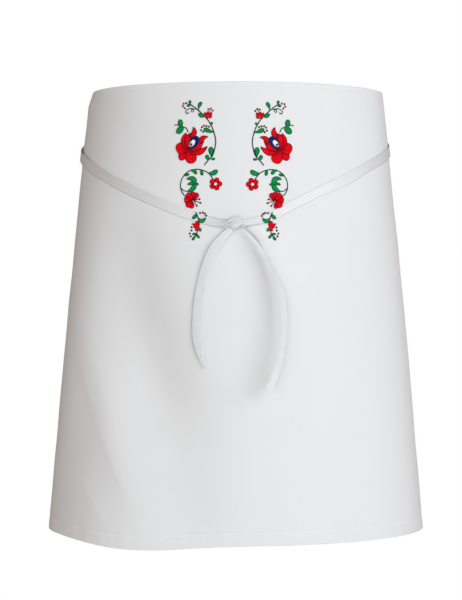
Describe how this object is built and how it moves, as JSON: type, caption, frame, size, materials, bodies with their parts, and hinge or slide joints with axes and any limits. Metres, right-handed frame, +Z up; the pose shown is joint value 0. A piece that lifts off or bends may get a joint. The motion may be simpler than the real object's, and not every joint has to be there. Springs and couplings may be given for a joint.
{
  "type": "waist apron",
  "caption": "Waist apron: a flared cotton half-length panel open at the back, with ribbon ties crossed behind and knotted in front.",
  "frame": {"origin": "middle of the waist opening, level with the top edge of the panel", "axes": "+Z up along the apron, from the hem to the waist; the front faces -Y; +X is the right as seen from the front"},
  "size_m": [0.4298, 0.2567, 0.5066],
  "materials": {
    "cotton": "white plain-weave cotton, matt, lightly pressed",
    "ribbon": "white grosgrain ribbon with cross ribs and a soft sheen",
    "red_thread": "red embroidery floss in satin stitch, silky",
    "green_thread": "green embroidery floss in satin stitch, silky",
    "dark_red_thread": "dark red embroidery floss in stem stitch round the petals",
    "dark_green_thread": "dark green embroidery floss in stem stitch for stems and leaf edges",
    "blue_thread": "dark blue embroidery floss in satin stitch, silky",
    "white_thread": "white sewing thread and embroidery floss"
  },
  "bodies": {
    "root": {"skirt_panel": "cotton", "top_hem": "cotton", "bottom_hem": "cotton", "side_hem_left": "cotton", "side_hem_right": "cotton", "tie_left": "ribbon", "tie_right": "ribbon", "knot": "ribbon", "tail_left": "ribbon", "tail_right": "ribbon"}
  },
  "joints": []
}
